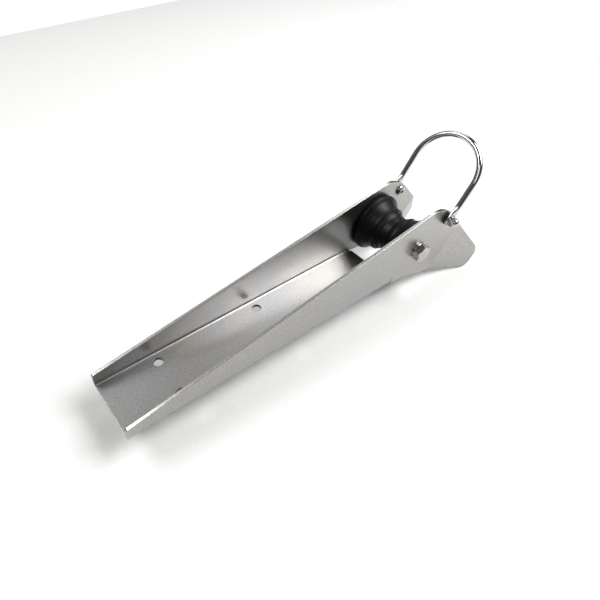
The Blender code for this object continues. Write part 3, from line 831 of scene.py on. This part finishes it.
bailSizes = {
    "lean": 33.0, "height": 0.07619, "rod": 0.0063, "eye": 0.013, "eyeThick": 0.0033, "neck": 0.0100,
    "sides": 32, "neckSteps": 16, "bendStep": 2.5, "drill": 0.01,
    "squareness": 0.45,                      # how far the hammered ends go from round to flat sided
    "spacer": 0.012, "spacerThick": 0.0015, "spacerEdge": 0.0003,
    "washer": 0.0115, "washerThick": 0.0010, "washerEdge": 0.0002,
}


def barStations(s, legAt):
    # half the bar, from one flattened end to the top: (across, up, half thickness, half width)
    eye, rod, flat = s["eye"] / 2, s["rod"] / 2, s["eyeThick"] / 2
    found = []
    for turn in range(-84, 1, 7):
        low = math.radians(turn)
        found.append((legAt, eye * math.sin(low), flat, eye * math.cos(low)))
    neck = eye + s["neck"]
    for i in range(1, s["neckSteps"] + 1):
        share = i / s["neckSteps"]
        ease = (1 - math.cos(math.pi * share)) / 2
        found.append((legAt, neck * share, flat + (rod - flat) * ease ** 2, eye + (rod - eye) * ease))
    straight = s["height"] - legAt
    found.append((legAt, (neck + straight) / 2, rod, rod))
    found += [(y, z, rod, rod) for y, z in arcPoints((0, straight), legAt, 0, 90, s["bendStep"])]
    return found


def barRing(bm, s, before, here, after):
    # one ring of points round the bar; the hammered ends have flat cheeks and rounded edges
    y, z, thick, wide = here
    run = Vector((0, after[0] - before[0], after[1] - before[1])).normalized()
    across = Vector((0, -run.z, run.y))
    power = 1 - s["squareness"] * max(min((wide / thick - 1) / 1.5, 1), 0)
    ring = []
    for k in range(s["sides"]):
        turn = 2 * math.pi * (k + 0.5) / s["sides"]
        a = math.copysign(abs(math.cos(turn)) ** power, math.cos(turn)) * thick
        b = math.copysign(abs(math.sin(turn)) ** power, math.sin(turn)) * wide
        ring.append(bm.verts.new(Vector((0, y, z)) + across * a + Vector((b, 0, 0))))
    return ring


def makeBail(s):
    # returns how far out the outer faces of its eyes are
    eyeInner = outerWall + 2 * gap + s["spacerThick"]
    legAt = eyeInner + s["eyeThick"] / 2
    half = barStations(s, legAt)
    path = half + [(-y, z, thick, wide) for y, z, thick, wide in reversed(half[:-1])]
    bm = bmesh.new()
    rings = [barRing(bm, s, *stations) for stations in zip(path[:1] + path, path, path[1:] + path[-1:])]
    for first, second in zip(rings, rings[1:]):
        for k in range(s["sides"]):
            after = (k + 1) % s["sides"]
            bm.faces.new([first[k], first[after], second[after], second[k]])
    bm.faces.new(rings[0])
    bm.faces.new(rings[-1])
    bmesh.ops.recalc_face_normals(bm, faces=bm.faces)
    lean = Matrix.Rotation(math.radians(s["lean"]), 4, "Y")
    bm.transform(Matrix.Translation((bailLine[0], 0, bailLine[1])) @ lean)
    bail = meshObject("bailBar", bm)
    bail.data.materials.append(polishedBar)
    cutter = bmesh.new()
    for side in (-1, 1):
        place = (bailLine[0], side * legAt, bailLine[1])
        addCylinder(cutter, screwSizes["thread"] + 2 * gap, place, (0, 1, 0), s["drill"])
    bail = combine(bail, "DIFFERENCE", meshObject("eyeHoles", cutter))
    finishPiece(bail, "bail", ["bail"])
    return eyeInner + s["eyeThick"]


screwSizes = {
    "thread": 0.006, "pitch": 0.001, "threadDeep": 0.00055, "threadRows": 64, "threadFrom": 0.002,
    "tipChamfer": 0.0005, "head": 0.012, "headHigh": 0.0032, "headEdge": (0.0002, 0.0003),
    "socket": 0.004, "socketDeep": 0.0018,
}
domeNutSizes = {
    "flats": 0.010, "hexHigh": 0.0034, "domeHigh": 0.0036, "domeShare": 0.9, "overBore": 0.0014,
    "overlap": 0.001, "ease": 0.00014, "sharperThan": 40,
}


def fixing(name, made, node, material):
    piece = onBothCheeks(made, name + "s", bailLine, material)
    finishPiece(piece, "frame", [node + "_starboard", node + "_port"])


def makeBailRings(s, eyeOuter):
    # a spacer inside the bail's eye and a thin washer outside it
    bore = screwSizes["thread"] / 2 + gap
    low = outerWall + gap
    profile = washerProfile(low, low + s["spacerThick"], bore, s["spacer"] / 2, s["spacerEdge"])
    made = turnedPiece("bailSpacer", profile, bailLine, darkNylon, closed=True)
    fixing("bailSpacer", made, "bail_spacer", darkNylon)
    low = eyeOuter + gap
    profile = washerProfile(low, low + s["washerThick"], bore, s["washer"] / 2, s["washerEdge"])
    made = turnedPiece("bailWasher", profile, bailLine, screwSteel, closed=True)
    fixing("bailWasher", made, "bail_washer", screwSteel)


def makeBailScrews(s, tip):
    # button heads inside the cheeks, their shanks reaching out into the nuts
    inner = innerWall - gap
    radius = s["thread"] / 2
    rim = s["head"] / 2
    head = [(rim * a, inner - s["headHigh"] * b) for a, b in arcPoints((0, 0), 1, 90, 8, 6)]
    head[0] = (0, inner - s["headHigh"])
    inset, rise = s["headEdge"]
    head += [(rim, inner - rise), (rim - inset, inner)]
    start = inner + s["threadFrom"]
    chamfer = s["tipChamfer"]
    rowGap = (tip - chamfer - start) / s["threadRows"]
    shank = [(radius, inner)] + [(radius, start + rowGap * i) for i in range(s["threadRows"] + 1)]
    profile = head + shank + [(radius - chamfer, tip), (0, tip)]
    made = turnedPiece("bailScrew", profile, bailLine, screwSteel, steps=64,
                       thread=(s["pitch"], s["threadDeep"], start, tip))
    socketFoot = inner - s["headHigh"] + s["socketDeep"]
    socket = hexagonPrism("socket", s["socket"], inner - 2 * s["headHigh"], socketFoot, bailLine, screwSteel)
    fixing("bailScrew", combine(made, "DIFFERENCE", socket), "bail_screw", screwSteel)


def makeDomeNuts(s, seat, bore, depth):
    rise = seat + s["hexHigh"]
    foot = s["flats"] / 2 * s["domeShare"]
    nut = hexagonPiece("bailNut", s["flats"], seat, rise, bailLine, polishedBar, True, True)
    dome = [(foot * a, rise + s["domeHigh"] * b) for a, b in arcPoints((0, 0), 1, 0, 90, 6)]
    dome[-1] = (0, rise + s["domeHigh"])
    under = rise - s["overlap"]
    cap = turnedPiece("dome", [(0, under), (foot, under)] + dome, bailLine, polishedBar)
    nut = combine(nut, "UNION", cap)
    under = seat - s["overlap"]
    profile = [(0, under), (bore, under), (bore, seat + depth), (0, seat + depth)]
    nut = combine(nut, "DIFFERENCE", turnedPiece("nutBore", profile, bailLine, polishedBar, steps=64))
    nut = easeEdges(nut, s["ease"], s["sharperThan"])
    fixing("bailNut", nut, "bail_nut", polishedBar)


eyeOuter = makeBail(bailSizes)
makeBailRings(bailSizes, eyeOuter)
nutSeat = eyeOuter + 2 * gap + bailSizes["washerThick"]
nutDepth = domeNutSizes["hexHigh"] + domeNutSizes["domeHigh"] - domeNutSizes["overBore"]
makeBailScrews(screwSizes, nutSeat + nutDepth - 2 * gap)
makeDomeNuts(domeNutSizes, nutSeat, screwSizes["thread"] / 2 + gap, nutDepth)
print("stage: bail hung")


studio = {
    "floorSide": 2.0,
    # softboxes: centre, width and height in metres, and power in watts
    "bow": {"place": (1.17, -0.63, 1.37), "wide": 1.15, "high": 1.10, "power": 42},
    "beam": {"place": (1.10, 0.75, 1.05), "wide": 0.80, "high": 0.45, "power": 2.8},
    "quarter": {"place": (-0.83, 0.80, 1.48), "wide": 1.00, "high": 0.65, "power": 15},
    "stern": {"place": (-1.35, -0.9, 1.9), "wide": 1.0, "high": 1.0, "power": 7},
    "aimAt": (0.05, 0, 0),
    "backdrop": "#ffffff",
    "portSide": 0.52, "elsewhere": 0.09,     # how bright the room's port wall is, and the rest of it
    "portUp": (0.30, 0.65),                  # the wall comes in between these heights of a view's direction
    "portAcross": (0.22, 0.50),              # and between these shares to port
    "underPart": 0.0005,                     # the floor lies this far below the lowest point
}
paperFinish = {
    "cell": 0.004,                       # pulp lies in soft clouds a few millimetres wide
    "colours": ("#e6e6e5", "#eaeae9"),
    "roughness": (0.88, 0.92),
    "relief": (0.00005, 0.1),
    "specular": 0.1,
}


def addSoftbox(name, box, aimAt):
    light = bpy.data.lights.new(name, "AREA")
    light.shape = "RECTANGLE"
    light.size = box["wide"]
    light.size_y = box["high"]
    light.energy = box["power"]
    obj = bpy.data.objects.new(name, light)
    obj.location = box["place"]
    obj.rotation_euler = (Vector(aimAt) - obj.location).to_track_quat("-Z", "Y").to_euler()
    bpy.context.scene.collection.objects.link(obj)


def makeFloor(s, finish):
    # matt white paper, uncoated: no gloss, and soft grey where the part shades it
    mat, tree, coords = startMaterial("paperMattWhite")
    pulp = addNode(tree, "ShaderNodeTexNoise", {"Vector": coords, "Scale": 1 / finish["cell"], "Detail": 3.0})
    patternFinish(tree, pulp, finish, pulp, {"Specular IOR Level": finish["specular"]})
    bm = bmesh.new()
    bmesh.ops.create_grid(bm, x_segments=1, y_segments=1, size=s["floorSide"] / 2)
    bmesh.ops.translate(bm, verts=bm.verts, vec=(0, 0, cadBox[0].z - s["underPart"]))
    floor = meshObject("floor", bm)
    floor.data.materials.append(mat)


def makeRoom(s):
    # the room: one pale wall to port, the rest of it dim, and a white backdrop
    world = bpy.data.worlds.new("studio")
    bpy.context.scene.world = world
    world.use_nodes = True
    tree = world.node_tree
    tree.nodes.clear()
    coords = addNode(tree, "ShaderNodeTexCoord").outputs["Generated"]
    split = addNode(tree, "ShaderNodeSeparateXYZ", {0: coords})
    low, high = s["portUp"]
    above = addNode(tree, "ShaderNodeMapRange", {0: split.outputs[2], 1: low, 2: high, 4: s["portSide"]})
    low, high = s["portAcross"]
    side = addNode(tree, "ShaderNodeMapRange", {0: split.outputs[1], 1: low, 2: high})
    wall = addNode(tree, "ShaderNodeMath", {0: above, 1: side}, operation="MULTIPLY")
    room = addNode(tree, "ShaderNodeMath", {0: wall, 1: s["elsewhere"]}, operation="ADD")
    dim = addNode(tree, "ShaderNodeBackground", {"Color": (1, 1, 1, 1), "Strength": room})
    pale = addNode(tree, "ShaderNodeBackground", {"Color": toLinear(s["backdrop"]), "Strength": 1.0})
    seen = addNode(tree, "ShaderNodeLightPath").outputs["Is Camera Ray"]
    mixed = addNode(tree, "ShaderNodeMixShader", {0: seen, 1: dim, 2: pale})
    addNode(tree, "ShaderNodeOutputWorld", {"Surface": mixed})


makeFloor(studio, paperFinish)
for name in ("bow", "beam", "quarter", "stern"):
    addSoftbox(name + "Softbox", studio[name], studio["aimAt"])
makeRoom(studio)
bpy.context.scene.view_settings.view_transform = "Standard"
print("stage: studio lit")
